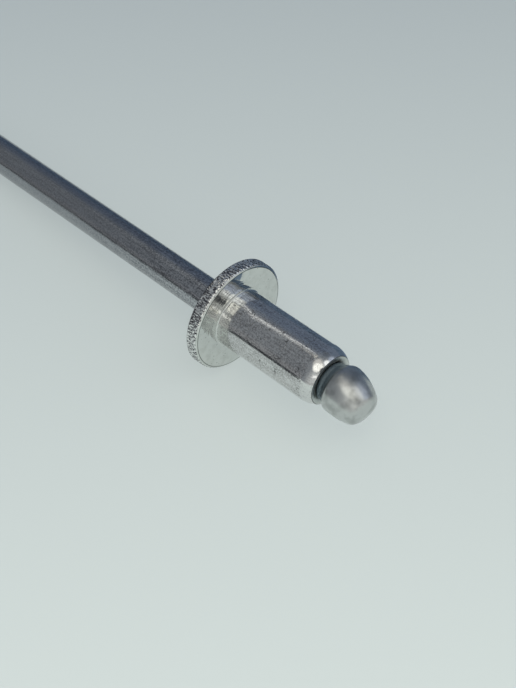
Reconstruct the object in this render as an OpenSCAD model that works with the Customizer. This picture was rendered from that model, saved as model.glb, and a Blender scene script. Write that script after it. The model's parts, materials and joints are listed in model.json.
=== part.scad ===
// Pop rivet (open-end blind rivet with a dome head), as supplied and not yet set:
// a hollow aluminium body, and the steel mandrel that runs through it.
// Each piece is drawn upright about its own axis: height 0 is the flange's seat, the mandrel's
// head is at the top and its tail at the bottom. Both are then laid down on their side, where
// the rivet rests on the rim of its flange and on the tail of its mandrel.

/* [Rivet body] */
// Diameter of the shank
body_d = 4; // [3.6:0.1:5]
// Length of the shank, from the flange's seat to its end
body_length = 8; // [5:0.5:16]
// Diameter of the flange
flange_d = 7.7; // [6.4:0.1:10]
// Height of the flange's cylindrical rim
rim_h = 0.86; // [0.5:0.02:1.2]
// Height of the dome behind the rim
dome_h = 0.44; // [0.2:0.02:0.8]
// Radius on the rim's rear edge, towards the dome
rim_edge_r = 0.08; // [0.04:0.01:0.2]
// Radius on the rim's front edge, around the seat
seat_edge_r = 0.22; // [0.04:0.01:0.3]
// Fillet between the shank and the flange's seat
seat_fillet_r = 0.1; // [0.05:0.01:0.3]
// Length over which the end of the shank is rounded off
end_round_length = 0.95; // [0.5:0.05:1.4]
// How far that rounding comes in
end_round_depth = 0.28; // [0.1:0.01:0.35]
// Width of the flat land left on the lip
lip_w = 0.05; // [0.03:0.01:0.1]
// How far the end face is dished, from the lip in to the bore
mouth_depth = 0.12; // [0.05:0.01:0.5]
// Chamfer where the bore comes out of the dome
bore_chamfer = 0.12; // [0.05:0.01:0.2]

/* [Mandrel] */
// Diameter of the stem
stem_d = 2.4; // [2:0.05:2.6]
// Length of stem that stands out behind the dome
stem_length = 28; // [20:1:40]
// Chamfer on the tail
tail_chamfer = 0.3; // [0.1:0.05:0.6]
// Diameter of the neck where the stem snaps
neck_d = 1.7; // [1.4:0.05:1.9]
// Width of the groove that forms the neck
neck_w = 0.8; // [0.4:0.1:1.4]
// Distance of the neck inside the end of the shank
neck_depth = 1.6; // [1.2:0.1:2.4]
// Radial clearance of the stem in the body's bore
stem_clearance = 0.04; // [0.02:0.01:0.08]

/* [Mandrel head] */
// Diameter of the head at its widest
head_d = 3.32; // [3:0.02:3.8]
// Distance of the ridge under the head from the end of the shank
ridge_out = 0.66; // [0.4:0.02:1]
// Share of the dished end face's width that the shoulder fills at the lip
shoulder_fill = 0.35; // [0.1:0.05:0.6]
// Height of the rounded heel, from the ridge up to the widest part
heel_h = 0.38; // [0.25:0.01:0.6]
// How far the heel comes in at the ridge
heel_depth = 0.16; // [0.1:0.01:0.3]
// Height of the nose above the widest part
nose_h = 2.2; // [1.8:0.05:2.6]
// Radius of the side's long curve
side_r = 3.6; // [3:0.1:12]
// Radius of the cap on the nose
cap_r = 3.5; // [2.1:0.1:4]
// Radius that joins the side to the cap
corner_r = 0.85; // [0.4:0.05:0.9]
// Angle by which the head leans off the stem; the rivet lies with that side down
head_lean = 18.5; // [0:0.5:20]

/* [Hidden] */
$fn = 128;
body_r = body_d / 2;
flange_r = flange_d / 2;
stem_r = stem_d / 2;
neck_r = neck_d / 2;
bore_r = stem_r + stem_clearance;
// The rounded end takes no more than half of the wall. Its radius is kept to a hundredth, so
// that the arc leaves the straight wall without a step.
end_depth = min(end_round_depth, (body_r - bore_r) / 2);
end_arc_r = round(50 * (end_round_length ^ 2 + end_depth ^ 2) / end_depth) / 100;
lip_r = body_r - end_arc_r + sqrt(end_arc_r ^ 2 - end_round_length ^ 2);
mouth_r = lip_r - lip_w;
// Where the flange's flats end, behind and in front
flat_r = flange_r - rim_edge_r;
seat_r = flange_r - seat_edge_r;
dome_arc_r = (flat_r ^ 2 + dome_h ^ 2) / (2 * dome_h);
back = -rim_h - dome_h;
tail = back - stem_length;
// Centre of the rim's rear edge, and corner of the tail's chamfer
rim_s = -rim_h + rim_edge_r;
tail_s = tail + tail_chamfer;
// Mandrel head, in heights above the ridge. Its foot stands a little proud of the shoulder all
// round, and a root inside it fills the wedge that the lean opens, and reaches a little past it.
head_r = head_d / 2;
ridge_r = head_r - heel_depth;
ridge = body_length + ridge_out;
foot_step = 0.03;
root_h = ridge_r * sin(head_lean) + 0.05;
heel_in = heel_depth - foot_step;
heel_arc_r = (heel_h ^ 2 + heel_in ^ 2) / (2 * heel_in);
shoulder_r = stem_r + shoulder_fill * (mouth_r - bore_r);
side_c = [head_r - side_r, heel_h];
cap_c = [0, heel_h + nose_h - cap_r];
corner_c = crossing(side_c, side_r - corner_r, cap_c, cap_r - corner_r);
// Resting attitude: the floor touches the rim's rear edge and the corner of the tail's chamfer
reach = [rim_s - tail_s, flat_r - stem_r];
tilt = atan2(reach[1], reach[0]) + asin(rim_edge_r / norm(reach));
axis_z = stem_r * cos(tilt) - tail_s * sin(tilt);
// Ends of the rivet along the floor, to put the origin halfway
low_x = tail * cos(tilt) - (stem_r - tail_chamfer) * sin(tilt);
high_x = ridge * cos(tilt) + nose_reach(head_lean - tilt);
// Angle by which the pieces are turned about their own axis, so that the seam of their turned
// faces doesn't lie on the line that the rivet rests on
seam_turn = 5.2;

// Upper crossing of two circles given by centre and radius
function crossing(c1, r1, c2, r2) =
    let (d = norm(c2 - c1), u = (c2 - c1) / d)
    let (a = (r1 ^ 2 - r2 ^ 2 + d ^ 2) / (2 * d), h = sqrt(r1 ^ 2 - a ^ 2))
    c1 + a * u + h * [-u[1], u[0]];

// How far the nose reaches from the ridge's middle, at an angle to the head's own axis: the
// cap's furthest point, or past its edge the corner's
function nose_reach(angle) =
    angle < atan2(corner_c[0], corner_c[1] - cap_c[1])
        ? cap_c[1] * cos(angle) + cap_r
        : corner_c[1] * cos(angle) + corner_c[0] * sin(angle) + corner_r;

// Point at a distance from one point, away from another
function beyond(point, from, distance) = point + distance * (point - from) / norm(point - from);

// Lays a piece drawn upright down on the floor, tail to the left
module lay_down() {
    translate([-(low_x + high_x) / 2, 0, axis_z])
        rotate([0, 90 - tilt, 0])
            children();
}

// Half section of the flange: a round-edged rim with a shallow dome behind it
module flange_section() {
    translate([0, -rim_h]) square([seat_r, rim_h]);
    translate([0, -rim_h]) square([flat_r, rim_h - seat_edge_r]);
    translate([0, rim_s]) square([flange_r, rim_h - rim_edge_r - seat_edge_r]);
    translate([flat_r, rim_s]) circle(r = rim_edge_r);
    translate([seat_r, -seat_edge_r]) circle(r = seat_edge_r);
    intersection() {
        translate([0, back + dome_arc_r]) circle(r = dome_arc_r);
        translate([0, back]) square([flange_r, dome_h]);
    }
}

// Half section of the shank: straight, then drawn in to the lip on a long arc
module shank_section() {
    square([body_r, body_length - end_round_length]);
    intersection() {
        translate([body_r - end_arc_r, body_length - end_round_length]) circle(r = end_arc_r);
        square([body_r, body_length]);
    }
    difference() {
        translate([body_r, 0]) square(seat_fillet_r);
        translate([body_r + seat_fillet_r, seat_fillet_r]) circle(r = seat_fillet_r);
    }
}

// The hollow body: flange and shank in one piece, bored for the stem
module rivet_body() {
    past = 1;
    lay_down() color([0.74, 0.76, 0.76]) rotate([0, 0, seam_turn]) rotate_extrude() difference() {
        union() {
            flange_section();
            shank_section();
        }
        translate([-past, back - past]) square([bore_r + past, body_length - back + 2 * past]);
        polygon([
            [0, body_length - mouth_depth], [bore_r, body_length - mouth_depth],
            [mouth_r, body_length], [mouth_r, body_length + past], [0, body_length + past]
        ]);
        polygon([
            [0, back - past], [bore_r + bore_chamfer + past, back - past],
            [bore_r, back + bore_chamfer], [0, back + bore_chamfer]
        ]);
    }
}

// Half section of the stem, from its chamfered tail to the ridge, and of its root in the head
module stem_section() {
    neck = body_length - neck_depth;
    polygon([
        [0, tail], [stem_r - tail_chamfer, tail], [stem_r, tail_s],
        [stem_r, neck - neck_w / 2], [neck_r, neck], [stem_r, neck + neck_w / 2],
        [stem_r, body_length - mouth_depth], [shoulder_r, body_length],
        [ridge_r, ridge], [ridge_r - foot_step, ridge],
        [ridge_r - foot_step, ridge + root_h], [0, ridge + root_h]
    ]);
}

// Half section of the head above the ridge: heel, long side curve, corner and cap
module head_section() {
    wide = 2 * head_r;
    square([head_r - heel_arc_r, heel_h]);
    intersection() {
        translate([head_r - heel_arc_r, heel_h]) circle(r = heel_arc_r);
        square([wide, heel_h]);
    }
    difference() {
        intersection() {
            translate(side_c) circle(r = side_r);
            translate(cap_c) circle(r = cap_r);
            translate([0, heel_h]) square([wide, nose_h]);
        }
        polygon([
            corner_c, beyond(corner_c, side_c, wide), corner_c + [wide, wide],
            beyond(corner_c, cap_c, wide)
        ]);
    }
    intersection() {
        translate(corner_c) circle(r = corner_r);
        square([wide, heel_h + nose_h]);
    }
}

// The mandrel: stem, break neck, shoulder and head in one piece
module mandrel() {
    lay_down() color([0.45, 0.47, 0.5]) union() {
        rotate([0, 0, seam_turn]) rotate_extrude() stem_section();
        translate([0, 0, ridge]) rotate([0, head_lean, 0]) rotate_extrude() head_section();
    }
}

rivet_body();
mandrel();
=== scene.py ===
import json
from math import asin, atan2, cos, degrees, hypot, pi, radians, sin, sqrt, tan

import bmesh
import bpy
from mathutils import Matrix, Vector, noise


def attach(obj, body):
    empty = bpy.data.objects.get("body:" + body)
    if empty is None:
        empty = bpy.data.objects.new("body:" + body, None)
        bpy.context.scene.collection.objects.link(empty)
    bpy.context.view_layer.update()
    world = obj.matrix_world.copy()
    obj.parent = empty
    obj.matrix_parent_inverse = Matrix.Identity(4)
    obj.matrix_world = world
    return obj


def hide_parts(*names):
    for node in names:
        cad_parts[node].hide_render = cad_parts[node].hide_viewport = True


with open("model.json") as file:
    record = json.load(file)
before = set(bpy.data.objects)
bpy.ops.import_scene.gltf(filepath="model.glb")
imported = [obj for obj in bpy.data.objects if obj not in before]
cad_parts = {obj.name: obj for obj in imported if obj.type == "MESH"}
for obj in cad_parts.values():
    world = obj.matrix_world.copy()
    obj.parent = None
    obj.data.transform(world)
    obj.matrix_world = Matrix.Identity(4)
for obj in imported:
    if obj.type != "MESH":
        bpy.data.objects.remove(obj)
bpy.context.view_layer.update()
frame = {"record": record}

# A pop rivet on a pale floor: a hollow aluminium body and the steel mandrel through it.
# Both pieces are turned upright in millimetres about +Z, with height 0 at the flange's seat,
# and then laid down to where the frame has them.

mm = 0.001
bodyName = "root"

# Where the rivet's own axis lies, from the record's mounts
mounts = {mount["name"]: mount for mount in frame["record"]["mounts"]}
axis = Vector(mounts["shank"]["axis"]).normalized()
shankPoint = Vector(mounts["shank"]["pos_m"])
seatPoint = Vector(mounts["flange_seat"]["pos_m"])
seatCentre = shankPoint + axis * axis.dot(seatPoint - shankPoint)
acrossSide = Vector((0, 1, 0))
downSide = acrossSide.cross(axis)
turnDown = Matrix((downSide, acrossSide, axis)).transposed()
layDown = Matrix.Translation(seatCentre) @ turnDown.to_4x4() @ Matrix.Scale(mm, 4)


# Points along an arc of a half section, as (radius, height); angles in degrees, 0 points outwards
def arc(centre, radius, start, end, parts):
    angles = [radians(start + (end - start) * part / parts) for part in range(parts + 1)]
    return [(centre[0] + radius * cos(angle), centre[1] + radius * sin(angle)) for angle in angles]


# Evenly spaced points from one point to another, without the last
def run(start, end, parts):
    shares = [part / parts for part in range(parts)]
    return [tuple(a + (b - a) * share for a, b in zip(start, end)) for share in shares]


# Upper crossing of two circles of a half section
def crossing(centreA, radiusA, centreB, radiusB):
    gap = Vector(centreB) - Vector(centreA)
    along = (radiusA ** 2 - radiusB ** 2 + gap.length_squared) / (2 * gap.length)
    side = sqrt(radiusA ** 2 - along ** 2)
    unit = gap.normalized()
    return Vector(centreA) + along * unit + side * Vector((-unit.y, unit.x))


# Direction from one point of a half section to another, in degrees
def bearing(start, end):
    return degrees(atan2(end[1] - start[1], end[0] - start[0]))


# 0 below low, 1 above high, smooth between them
def smoothStep(low, high, value):
    share = min(max((value - low) / (high - low), 0), 1)
    return share * share * (3 - 2 * share)


# Spins a half section into a closed solid of revolution
def turn(outline, steps, ring):
    bm = bmesh.new()
    verts = [bm.verts.new((radius, 0, height)) for radius, height in outline]
    pairs = zip(verts, verts[1:] + verts[:1] if ring else verts[1:])
    edges = [bm.edges.new(pair) for pair in pairs]
    bmesh.ops.spin(bm, geom=verts + edges, cent=(0, 0, 0), axis=(0, 0, 1), angle=2 * pi,
                   steps=steps, use_merge=True, use_duplicate=False)
    bmesh.ops.remove_doubles(bm, verts=bm.verts, dist=1e-5)
    bmesh.ops.recalc_face_normals(bm, faces=bm.faces)
    return bm


# Lays a turned piece down, makes it an object and gives it to the frame
def place(bm, name, node, materials):
    bmesh.ops.transform(bm, matrix=layDown, verts=bm.verts)
    for face in bm.faces:
        face.smooth = True
    mesh = bpy.data.meshes.new(name)
    bm.to_mesh(mesh)
    bm.free()
    piece = bpy.data.objects.new(name, mesh)
    bpy.context.scene.collection.objects.link(piece)
    for material in materials:
        mesh.materials.append(material)
    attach(piece, bodyName)
    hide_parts(node)
    print(f"{name}: {len(mesh.polygons)} faces")
    return piece


# A socket that feeds others. Sums on it add Math nodes, and add() makes any other node.
class Wire:
    def __init__(self, tree, socket=None):
        self.tree = tree
        self.socket = socket

    def add(self, kind, settings, sockets, output=0):
        node = self.tree.nodes.new("ShaderNode" + kind)
        for name, value in settings.items():
            setattr(node, name, value)
        for name, value in sockets.items():
            if isinstance(value, Wire):
                self.tree.links.new(value.socket, node.inputs[name])
            else:
                node.inputs[name].default_value = value
        return Wire(self.tree, node.outputs[output])

    def math(self, operation, *values):
        return self.add("Math", {"operation": operation}, dict(enumerate(values)))

    def __add__(self, other):
        return self.math("ADD", self, other)

    def __radd__(self, other):
        return self.math("ADD", other, self)

    def __sub__(self, other):
        return self.math("SUBTRACT", self, other)

    def __rsub__(self, other):
        return self.math("SUBTRACT", other, self)

    def __mul__(self, other):
        return self.math("MULTIPLY", self, other)

    def __rmul__(self, other):
        return self.math("MULTIPLY", other, self)

    def __abs__(self):
        return self.math("ABSOLUTE", self)

    # 0 below low, 1 above high, smooth between them
    def step(self, low, high):
        sockets = {"Value": self, "From Min": low, "From Max": high}
        return self.add("MapRange", {"interpolation_type": "SMOOTHSTEP"}, sockets)

    # One colour turning into another as this goes from 0 to 1
    def blend(self, colourA, colourB):
        sockets = {0: self, 6: colourA, 7: colourB}
        return self.add("Mix", {"data_type": "RGBA"}, sockets, 2)

    # Noise on this vector, from 0 to 1
    def grain(self, scale, detail=2, roughness=0.5):
        sockets = {"Vector": self, "Scale": scale, "Detail": detail, "Roughness": roughness}
        return self.add("TexNoise", {}, sockets)

    # This vector scaled by three numbers
    def stretch(self, x, y, z):
        return self.add("VectorMath", {"operation": "MULTIPLY"}, {0: self, 1: (x, y, z)})


# A metal, with its pattern space in millimetres about the rivet's own axis
def metal(name):
    material = bpy.data.materials.new(name)
    material.use_nodes = True
    tree = material.node_tree
    shader = tree.nodes["Principled BSDF"]
    shader.inputs["Metallic"].default_value = 1
    coords = Wire(tree).add("TexCoord", {}, {}, "Object")
    space = coords.add("Mapping", {"vector_type": "TEXTURE"}, {
        "Vector": coords, "Location": seatCentre, "Rotation": turnDown.to_euler(),
        "Scale": (mm, mm, mm)})

    def feed(colour, roughness, normal):
        tree.links.new(colour.socket, shader.inputs["Base Color"])
        tree.links.new(roughness.socket, shader.inputs["Roughness"])
        tree.links.new(normal.socket, shader.inputs["Normal"])
        return material

    return space, feed


drawnFinish = {
    "light": (0.73, 0.73, 0.72, 1),
    "dark": (0.42, 0.41, 0.41, 1),
    "wormShade": (0.22, 0.22, 0.22, 1),
    "roughness": 0.07,
    "speckleDepth": 0.0008 * mm,
    "wormDepth": 0.003 * mm,
    "smoothBelow": 0.45,  # heights past which the wall is burnished, at the flange and at the end
    "smoothAbove": 7.1,
    "smoothFade": 0.3,
}


# The shank's drawn wall: a fine speckle, faint lines along it and a few worm-shaped marks
def makeDrawnAluminium():
    space, feed = metal("drawnAluminium")
    height = space.add("SeparateXYZ", {}, {"Vector": space}, "Z")
    low, high = drawnFinish["smoothBelow"], drawnFinish["smoothAbove"]
    fade = drawnFinish["smoothFade"]
    burnished = 1 - height.step(low - fade, low) * (1 - height.step(high, high + fade))
    speckle = space.grain(9, 2, 0.6)
    lines = space.stretch(1, 1, 0.04).grain(9, 2)
    tone = (speckle * 0.65 + lines * 0.35 + burnished * 0.1).step(0.36, 0.62)
    worms = 1 - abs(space.grain(2.6, 1) - 0.5).step(0.008, 0.022)
    worms = worms * space.grain(1.1, 1).step(0.44, 0.54) * (1 - burnished)
    colour = worms.blend(tone.blend(drawnFinish["dark"], drawnFinish["light"]),
                         drawnFinish["wormShade"])
    roughness = drawnFinish["roughness"] + 0.05 * speckle
    grooves = space.add("Bump", {"invert": True}, {"Distance": drawnFinish["wormDepth"],
                                                   "Height": worms})
    bump = space.add("Bump", {}, {"Distance": drawnFinish["speckleDepth"], "Height": speckle,
                                  "Normal": grooves})
    return feed(colour, roughness, bump)


pressedFinish = {
    "light": (0.73, 0.74, 0.71, 1),
    "dark": (0.62, 0.63, 0.60, 1),
    "speckShade": (0.34, 0.35, 0.34, 1),
    "paintedLineShade": (0.13, 0.14, 0.14, 1),
    "seatShadeLine": 3.66,     # radii of the thin dark lines of painted shade around the seat and around the mouth
    "mouthShadeLine": 1.715,
    "lineWidth": 0.03,
    "roughness": 0.03,
    "mouthRoughness": 0.35,
    "mouthEdge": 1.75,    # radius up to which the end face is rough
    "depth": 0.0015 * mm,
}


# The flange's seat, the end face and the dome: pressed almost to a mirror, with a few specks and thin
# dark lines of painted shade around the seat and the mouth
def makePressedAluminium():
    space, feed = metal("pressedAluminium")
    cloud = space.grain(1.6, 4, 0.6)
    specks = space.grain(5, 1).step(0.70, 0.74)
    flat = space.stretch(1, 1, 0)
    radius = flat.add("VectorMath", {"operation": "LENGTH"}, {0: flat}, "Value")
    width = pressedFinish["lineWidth"]
    # Painted shade: two thin dark rings stand in for the shade on the seat's edge rounding and at the
    # mouth's crest
    lines = [1 - abs(radius - pressedFinish[line]).step(width / 2, width)
             for line in ("seatShadeLine", "mouthShadeLine")]
    colour = cloud.step(0.25, 0.6).blend(pressedFinish["dark"], pressedFinish["light"])
    colour = specks.blend(colour, pressedFinish["speckShade"])
    colour = (lines[0] + lines[1]).blend(colour, pressedFinish["paintedLineShade"])
    inMouth = 1 - radius.step(pressedFinish["mouthEdge"], pressedFinish["mouthEdge"] + 0.1)
    roughness = pressedFinish["roughness"] + 0.04 * cloud + pressedFinish["mouthRoughness"] * inMouth
    bump = space.add("Bump", {}, {"Distance": pressedFinish["depth"], "Height": cloud})
    return feed(colour, roughness, bump)


rimFinish = {
    "light": (0.90, 0.90, 0.88, 1),
    "dark": (0.13, 0.13, 0.14, 1),
    "roughness": 0.16,
    "depth": 0.02 * mm,
    "edgeFrom": -0.76,   # painted shade, darker from this height down to the rear edge
    "edgeFull": -0.82,
    "rearEdgePaintedShade": (0.07, 0.07, 0.08, 1),
}


# The sheared rim: bright on the lands, with painted shade in the scores and along its rear edge
def makeScoredAluminium():
    space, feed = metal("scoredAluminium")
    fine = space.stretch(1, 1, 0.45).grain(11, 2, 0.6)
    height = space.add("SeparateXYZ", {}, {"Vector": space}, "Z")
    edge = 1 - height.step(rimFinish["edgeFull"], rimFinish["edgeFrom"])
    # Painted shade: dark streaks, laid by a noise of their own, for the shade down in the scores, and
    # a dark band on the rear edge's rounding
    colour = fine.step(0.44, 0.54).blend(rimFinish["dark"], rimFinish["light"])
    colour = edge.blend(colour, rimFinish["rearEdgePaintedShade"])
    roughness = rimFinish["roughness"] + 0.1 * fine
    bump = space.add("Bump", {}, {"Distance": rimFinish["depth"], "Height": fine})
    return feed(colour, roughness, bump)


steelFinish = {
    "stemLight": (0.50, 0.51, 0.53, 1),
    "stemDark": (0.17, 0.175, 0.19, 1),
    "headLight": (0.58, 0.59, 0.58, 1),
    "headDark": (0.42, 0.43, 0.42, 1),
    "headStart": 8.5,
    "headFull": 8.8,
    # painted shade: a dark bluish colour for the shoulder's shade down in the mouth and the dark lip
    # it mirrors
    "shoulderPaintedShade": (0.28, 0.33, 0.37, 1),
    "grainFrom": -16.0,   # the grain comes up between these heights, towards the flange
    "grainFull": -3.0,
    "shoulderFrom": 7.9,
    "shoulderRoughness": 0.15,   # added to the stem's
    "stemRoughness": 0.17,
    "headRoughness": 0.26,
    "stemDepth": 0.003 * mm,
    "headDepth": 0.012 * mm,
}


# Drawn wire, dark and grainy on the stem, with painted shade on the shoulder down in the mouth;
# brighter and softly dented on the pressed head
def makeSteel():
    space, feed = metal("mandrelSteel")
    height = space.add("SeparateXYZ", {}, {"Vector": space}, "Z")
    onHead = height.step(steelFinish["headStart"], steelFinish["headFull"])
    speckle = space.grain(9, 2, 0.6)
    lines = space.stretch(1, 1, 0.04).grain(10, 2)
    grainy = 0.35 + 0.65 * height.step(steelFinish["grainFrom"], steelFinish["grainFull"])
    tone = (speckle * 0.65 + lines * 0.35).step(0.36, 0.62) * grainy + 0.5 * (1 - grainy)
    stemColour = tone.blend(steelFinish["stemDark"], steelFinish["stemLight"])
    cloud = space.grain(1.4, 2)
    headColour = cloud.step(0.3, 0.6).blend(steelFinish["headDark"], steelFinish["headLight"])
    onShoulder = height.step(steelFinish["shoulderFrom"], steelFinish["shoulderFrom"] + 0.1)
    # The shoulder takes the painted shade in place of the stem's colour
    colour = onShoulder.blend(stemColour, steelFinish["shoulderPaintedShade"])
    colour = onHead.blend(colour, headColour)
    softer = steelFinish["headRoughness"] - steelFinish["stemRoughness"]
    roughness = steelFinish["stemRoughness"] + 0.08 * speckle + softer * onHead
    roughness = roughness + steelFinish["shoulderRoughness"] * onShoulder * (1 - onHead)
    dents = space.add("Bump", {}, {"Distance": steelFinish["headDepth"], "Height": cloud * onHead})
    bump = space.add("Bump", {}, {"Distance": steelFinish["stemDepth"],
                                  "Height": speckle * (1 - 0.8 * onHead), "Normal": dents})
    return feed(colour, roughness, bump)


# Lengths in millimetres
bodyDims = {
    "shankR": 2.0,
    "length": 8.0,
    "boreR": 1.24,
    "flangeR": 3.85,
    "rimHeight": 0.86,
    "rimEdgeR": 0.08,
    "seatEdgeR": 0.22,
    "domeHeight": 0.44,
    "boreChamfer": 0.12,
    "seatFillet": 0.08,
    "endRoundLength": 0.95,
    "endArcR": 1.75,
    "crestR": 0.05,
    "mouthDepth": 0.12,
    "endFaceR": 1.735,             # the pressed finish of the end face reaches this far out
    "endFaceFrom": 7.8,
    # Radius, half width and depth of the rings pressed into the seat
    "seatRings": ((2.14, 0.045, 0.012), (2.70, 0.04, 0.004), (2.92, 0.04, 0.003)),
    "steps": 960,
}
scores = {
    "width": 0.075,
    "length": 0.24,
    "depth": 0.035,
    "fade": 0.14,                  # height over which they die out at the rear edge
    "from": 0.15,                  # distance outside the seat's flat where the rim's finish starts
}


# Half section of the body, anticlockwise from the dome's end of its bore
def bodyOutline(dims):
    length, boreR, shankR = dims["length"], dims["boreR"], dims["shankR"]
    flatR = dims["flangeR"] - dims["rimEdgeR"]
    seatR = dims["flangeR"] - dims["seatEdgeR"]
    rearEdge = dims["rimEdgeR"] - dims["rimHeight"]
    back = -dims["rimHeight"] - dims["domeHeight"]
    domeR = (flatR ** 2 + dims["domeHeight"] ** 2) / (2 * dims["domeHeight"])
    arcCentre = (shankR - dims["endArcR"], length - dims["endRoundLength"])
    crestReach = dims["endArcR"] - dims["crestR"]
    crestTurn = asin((dims["endRoundLength"] - dims["crestR"]) / crestReach)
    crest = (arcCentre[0] + crestReach * cos(crestTurn), arcCentre[1] + crestReach * sin(crestTurn))
    mouthTurn = degrees(atan2(crest[0] - boreR, dims["mouthDepth"]))
    fillet = dims["seatFillet"]
    points = [(boreR, back + dims["boreChamfer"]), (boreR, length - dims["mouthDepth"])]
    points += arc(crest, dims["crestR"], 180 - mouthTurn, degrees(crestTurn), 6)
    points += arc(arcCentre, dims["endArcR"], degrees(crestTurn), 0, 12)[1:]
    points += run((shankR, arcCentre[1]), (shankR, fillet), 4)[1:]
    points += arc((shankR + fillet, fillet), fillet, 180, 270, 5)
    for radius, half, depth in dims["seatRings"]:
        points += [(radius - half, 0), (radius - half / 2, -depth / 2), (radius, -depth),
                   (radius + half / 2, -depth / 2), (radius + half, 0)]
    points += arc((seatR, -dims["seatEdgeR"]), dims["seatEdgeR"], 90, 0, 8)
    points += run((dims["flangeR"], -dims["seatEdgeR"]), (dims["flangeR"], rearEdge), 10)[1:]
    points += arc((flatR, rearEdge), dims["rimEdgeR"], 0, -90, 4)
    domeEdge = degrees(atan2(flatR, domeR - dims["domeHeight"]))
    domeStart = degrees(asin((boreR + dims["boreChamfer"]) / domeR))
    points += arc((0, back + domeR), domeR, domeEdge - 90, domeStart - 90, 10)[1:]
    return points


# Presses irregular scores into the rim, from the seat's edge almost to the rear edge
def scoreRim(bm, dims):
    seatR = dims["flangeR"] - dims["seatEdgeR"]
    rearEdge = dims["rimEdgeR"] - dims["rimHeight"]
    cell = Vector((scores["width"], scores["width"], scores["length"]))
    for vert in bm.verts:
        radius = hypot(vert.co.x, vert.co.y)
        if radius < seatR + 0.02 or vert.co.z < rearEdge:
            continue
        where = Vector([part / size for part, size in zip(vert.co, cell)])
        rough = noise.noise(where) + 0.5 * noise.noise(where * 2.1)
        inset = scores["depth"] * smoothStep(-0.35, 0.45, rough)
        inset *= smoothStep(rearEdge, rearEdge + scores["fade"], vert.co.z)
        inset *= smoothStep(seatR, dims["flangeR"], radius)
        vert.co.xy *= 1 - inset / radius


# The hollow body: flange, dome and shank in one piece
def makeRivetBody():
    bm = turn(bodyOutline(bodyDims), bodyDims["steps"], True)
    scoreRim(bm, bodyDims)
    rimStart = bodyDims["flangeR"] - bodyDims["seatEdgeR"] + scores["from"]
    for face in bm.faces:
        centre = face.calc_center_median()
        radius = hypot(centre.x, centre.y)
        onFlange = radius > bodyDims["shankR"] + 0.01
        inBore = radius < bodyDims["boreR"] + 0.001
        onEndFace = radius < bodyDims["endFaceR"] and centre.z > bodyDims["endFaceFrom"]
        if radius > rimStart and -bodyDims["rimHeight"] < centre.z:
            face.material_index = 2
        elif onFlange or inBore or onEndFace:
            face.material_index = 1
    finishes = [makeDrawnAluminium(), makePressedAluminium(), makeScoredAluminium()]
    return place(bm, "rivetBody", "rivet_body", finishes)


mandrelDims = {
    "stemR": 1.2,
    "stemLength": 28.0,
    "tailChamfer": 0.3,
    "neckR": 0.85,
    "neckWidth": 0.8,
    "neckDepth": 1.6,
    "shoulderR": 1.29,
    "shoulderFlare": 0.04,
    "shoulderEnd": 0.3,  # distance below the ridge where the shoulder turns out to it
    "ridgeOut": 0.62,
    "ridgeR": 1.5,
    "heelHeight": 0.38,
    "heelDepth": 0.16,
    "headR": 1.66,
    "noseHeight": 2.24,
    "sideArc": 4.07,
    "capArc": 3.19,
    "cornerArc": 0.58,
    "bendFrom": 8.3,     # heights between which the head bends over
    "bendTo": 9.46,
    "lean": 12.9,        # degrees that it bends by
    "leanTo": -35,       # and where to, in degrees from straight down
    "steps": 384,
}


# Half section of the mandrel, from the middle of its tail to the middle of its nose
def mandrelOutline(dims):
    stemR, length = dims["stemR"], bodyDims["length"]
    tail = -bodyDims["rimHeight"] - bodyDims["domeHeight"] - dims["stemLength"]
    neck = length - dims["neckDepth"]
    ridge = length + dims["ridgeOut"]
    points = [(0, tail), (stemR - dims["tailChamfer"], tail)]
    points += run((stemR, tail + dims["tailChamfer"]), (stemR, neck - dims["neckWidth"] / 2), 60)
    points += [(stemR, neck - dims["neckWidth"] / 2), (dims["neckR"], neck),
               (stemR, neck + dims["neckWidth"] / 2), (stemR, length - bodyDims["mouthDepth"])]
    shoulderTop = (dims["shoulderR"] + dims["shoulderFlare"], ridge - dims["shoulderEnd"])
    points += run((dims["shoulderR"], length), shoulderTop, 4)
    points += run(shoulderTop, (dims["ridgeR"], ridge), 4)
    heelArc = (dims["heelHeight"] ** 2 + dims["heelDepth"] ** 2) / (2 * dims["heelDepth"])
    widest = ridge + dims["heelHeight"]
    heelCentre = (dims["headR"] - heelArc, widest)
    points += arc(heelCentre, heelArc, -degrees(asin(dims["heelHeight"] / heelArc)), 0, 8)
    sideCentre = (dims["headR"] - dims["sideArc"], widest)
    capCentre = (0, widest + dims["noseHeight"] - dims["capArc"])
    corner = crossing(sideCentre, dims["sideArc"] - dims["cornerArc"],
                      capCentre, dims["capArc"] - dims["cornerArc"])
    sideEnd, capStart = bearing(sideCentre, corner), bearing(capCentre, corner)
    points += arc(sideCentre, dims["sideArc"], 0, sideEnd, 10)[1:]
    points += arc(corner, dims["cornerArc"], sideEnd, capStart, 10)[1:]
    points += arc(capCentre, dims["capArc"], capStart, 90, 12)[1:]
    return points


# Bends the head over along an arc, and carries what is past the arc along with it
def bendHead(bm, dims):
    low, length = dims["bendFrom"], dims["bendTo"] - dims["bendFrom"]
    arcR = length / radians(dims["lean"])
    towards = Vector((cos(radians(dims["leanTo"])), sin(radians(dims["leanTo"])), 0))
    across = Vector((-towards.y, towards.x, 0))
    for vert in bm.verts:
        above = vert.co.z - low
        if above > 0:
            bent = radians(dims["lean"]) * min(above / length, 1)
            turned = Matrix.Rotation(bent, 3, across)
            middle = towards * arcR * (1 - cos(bent))
            middle.z = low + arcR * sin(bent)
            vert.co = middle + turned @ Vector((vert.co.x, vert.co.y, max(above - length, 0)))


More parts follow.
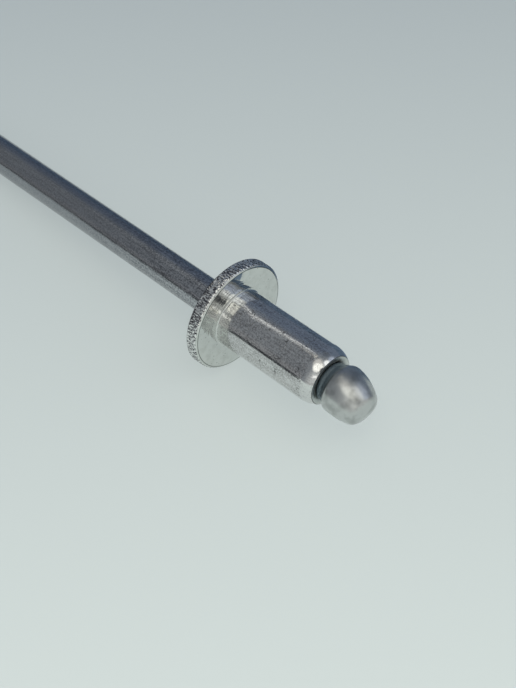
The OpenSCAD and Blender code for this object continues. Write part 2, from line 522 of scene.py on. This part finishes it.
# The mandrel: stem, break neck, shoulder and bent head in one piece
def makeMandrel():
    bm = turn(mandrelOutline(mandrelDims), mandrelDims["steps"], False)
    bendHead(bm, mandrelDims)
    return place(bm, "mandrelPin", "mandrel", [makeSteel()])


floorDims = {
    "size": 8.0,
    "near": (0.487, 0.532, 0.512, 1),   # towards the camera
    "far": (0.298, 0.332, 0.342, 1),
    "nearAt": -33 * mm,  # along the camera's heading
    "farAt": 32 * mm,
}
# Low cards beside the rivet, which only its reflections show
cards = {
    "darkCard": {"from": -120, "to": -1.4, "across": -38, "height": 6.3,
                 "colour": (0.10, 0.105, 0.11, 1)},
    "navyCard": {"from": -120, "to": 18.3, "across": 8.6, "height": 6.5,
                 "colour": (0.14, 0.19, 0.27, 1)},
    "nearCard": {"from": 14, "to": 18, "across": 4.6, "height": 3.5,
                 "colour": (0.20, 0.26, 0.35, 1)},
}


# A flat sheet for the studio, lying level or stood up facing along Y
def makeSheet(name, centre, width, height, standing, material):
    stand = Matrix.Rotation(radians(90 if standing else 0), 4, "X")
    lay = Matrix.Translation(centre) @ stand @ Matrix.Diagonal((width, height, 1, 1))
    bm = bmesh.new()
    bmesh.ops.create_grid(bm, x_segments=1, y_segments=1, size=0.5, matrix=lay)
    mesh = bpy.data.meshes.new(name)
    bm.to_mesh(mesh)
    bm.free()
    mesh.materials.append(material)
    sheet = bpy.data.objects.new(name, mesh)
    bpy.context.scene.collection.objects.link(sheet)
    return sheet


# A plain surface with no shine
def matte(name):
    material = bpy.data.materials.new(name)
    material.use_nodes = True
    shader = material.node_tree.nodes["Principled BSDF"]
    shader.inputs["Roughness"].default_value = 0.9
    shader.inputs["Specular IOR Level"].default_value = 0
    return material, shader


# Pale paper with a painted light falloff: lighter towards the camera, darker away from it
def makeFloor():
    paper, shader = matte("palePaper")
    tree = paper.node_tree
    coords = Wire(tree).add("TexCoord", {}, {}, "Object")
    turnBy = radians(viewDims["azimuth"])
    away = (-sin(turnBy), cos(turnBy), 0)
    along = coords.add("VectorMath", {"operation": "DOT_PRODUCT"}, {0: coords, 1: away}, "Value")
    # Painted light falloff: the colour grades from near to far along the camera's heading
    paintedFalloff = along.add("MapRange", {}, {
        "Value": along, "From Min": floorDims["nearAt"], "From Max": floorDims["farAt"]})
    colour = paintedFalloff.blend(floorDims["near"], floorDims["far"])
    tree.links.new(colour.socket, shader.inputs["Base Color"])
    makeSheet("floor", (0, 0, 0), floorDims["size"], floorDims["size"], False, paper)


def makeCards():
    for name, dims in cards.items():
        card, shader = matte(name)
        shader.inputs["Base Color"].default_value = dims["colour"]
        middle = (dims["from"] + dims["to"]) / 2
        centre = Vector((middle, dims["across"], dims["height"] / 2)) * mm
        width = (dims["to"] - dims["from"]) * mm
        sheet = makeSheet(name, centre, width, dims["height"] * mm, True, card)
        sheet.visible_camera = False
        sheet.visible_diffuse = False
        sheet.visible_shadow = False


viewDims = {
    "azimuth": 44.09,    # degrees; 0 looks along +Y
    "elevation": 52.75,
    "distance": 90.27 * mm,
    "aimFromSeat": Vector((1.844, -0.111, -1.036)) * mm,
    "lens": 73.26,
}


def makeCamera(dims):
    turnBy, rise = radians(dims["azimuth"]), radians(dims["elevation"])
    back = Vector((sin(turnBy) * cos(rise), -cos(turnBy) * cos(rise), sin(rise)))
    camera = bpy.data.objects.new("camera", bpy.data.cameras.new("camera"))
    camera.data.lens = dims["lens"]
    camera.data.clip_start, camera.data.clip_end = mm, 10
    camera.location = seatCentre + dims["aimFromSeat"] + back * dims["distance"]
    camera.rotation_mode = "QUATERNION"
    camera.rotation_quaternion = (-back).to_track_quat("-Z", "Y")
    bpy.context.scene.collection.objects.link(camera)
    bpy.context.scene.camera = camera


# Angles in degrees: bearing is anticlockwise from +X, rise is above the floor
def heading(bearingDeg, riseDeg):
    level = cos(radians(riseDeg))
    turned = radians(bearingDeg)
    return Vector((level * cos(turned), level * sin(turned), sin(radians(riseDeg))))


# Lamps stand at one distance; across and tall are how wide they look from the rivet, in degrees
lampDistance = 0.5
lamps = {
    "sideWindow": {"bearing": -60, "rise": 34, "across": 22, "tall": 9, "radiance": 0.6,
                   "tint": (1.0, 0.99, 0.95)},
    "slit": {"bearing": 168, "rise": 54.4, "across": 24, "tall": 1.3, "radiance": 0.9,
             "tint": (1.0, 1.0, 0.96)},
}
# Lights the paper without showing in the metal
fill = {"distance": 0.6, "size": 3.0, "radiance": 1.0}


def makeLamp(name, towards, distance, size, radiance, tint):
    data = bpy.data.lights.new(name, "AREA")
    data.shape = "RECTANGLE"
    data.size, data.size_y = size
    data.color = tint
    data.energy = radiance * pi * size[0] * size[1]
    lamp = bpy.data.objects.new(name, data)
    lamp.location = seatCentre + towards * distance
    lamp.rotation_mode = "QUATERNION"
    lamp.rotation_quaternion = (-towards).to_track_quat("-Z", "Y")
    lamp.visible_camera = False
    bpy.context.scene.collection.objects.link(lamp)
    return lamp


def makeLamps():
    for name, dims in lamps.items():
        size = [2 * lampDistance * tan(radians(dims[side] / 2)) for side in ("across", "tall")]
        makeLamp(name, heading(dims["bearing"], dims["rise"]), lampDistance, size,
                 dims["radiance"], dims["tint"])
    above = makeLamp("fill", Vector((0, 0, 1)), fill["distance"], (fill["size"],) * 2,
                     fill["radiance"], (1, 1, 1))
    above.visible_glossy = False
    above.data.use_shadow = False
    above.data.cycles.use_multiple_importance_sampling = False


# The dim room that the metal mirrors: a plain level, and soft patches laid over it in turn.
# Each is full within the first angle of its heading and gone by the second.
room = {
    "plain": (0.235, 0.255, 0.275, 1),
    "patches": (
        {"bearing": 112, "rise": 10, "full": 25, "gone": 65, "light": (0.14, 0.175, 0.235, 1)},
        {"bearing": -20, "rise": 5, "full": 45, "gone": 85, "light": (0.58, 0.60, 0.59, 1)},
        {"bearing": 52, "rise": 38, "full": 4, "gone": 24, "light": (0.55, 0.62, 0.75, 1)},
        {"bearing": -130, "rise": 0, "full": 6, "gone": 24, "light": (0.27, 0.28, 0.29, 1)},
        {"bearing": 100, "rise": 50, "full": 4, "gone": 16, "light": (0.12, 0.14, 0.17, 1)},
        {"bearing": 160, "rise": 63, "full": 3, "gone": 9, "light": (0.62, 0.62, 0.58, 1)},
        {"bearing": -85, "rise": 84, "full": 6, "gone": 24, "light": (0.68, 0.67, 0.64, 1)},
        {"bearing": -62, "rise": 68, "full": 10, "gone": 20, "light": (1.40, 1.40, 1.31, 1)},
        {"bearing": -25, "rise": 70, "full": 6, "gone": 15, "light": (1.25, 1.25, 1.17, 1)},
        {"bearing": -45, "rise": 24, "full": 3, "gone": 9, "light": (1.00, 1.00, 0.92, 1)},
        {"bearing": -20, "rise": 52, "full": 7, "gone": 13, "light": (0.10, 0.11, 0.12, 1)},
        {"bearing": 36, "rise": 60, "full": 6, "gone": 15, "light": (1.25, 1.28, 1.28, 1)},
    ),
}


def makeWorld():
    world = bpy.data.worlds.new("room")
    world.use_nodes = True
    tree = world.node_tree
    facing = Wire(tree).add("TexCoord", {}, {}, "Generated")
    light = room["plain"]
    for patch in room["patches"]:
        middle = heading(patch["bearing"], patch["rise"])
        near = facing.add("VectorMath", {"operation": "DOT_PRODUCT"}, {0: facing, 1: middle}, "Value")
        share = near.step(cos(radians(patch["gone"])), cos(radians(patch["full"])))
        light = share.blend(light, patch["light"])
    tree.links.new(light.socket, tree.nodes["Background"].inputs["Color"])
    bpy.context.scene.world = world


bpy.context.scene.view_settings.view_transform = "Standard"
makeCamera(viewDims)
makeWorld()
makeLamps()
makeFloor()
makeCards()
print("camera, lights and floor are in")
makeRivetBody()
makeMandrel()
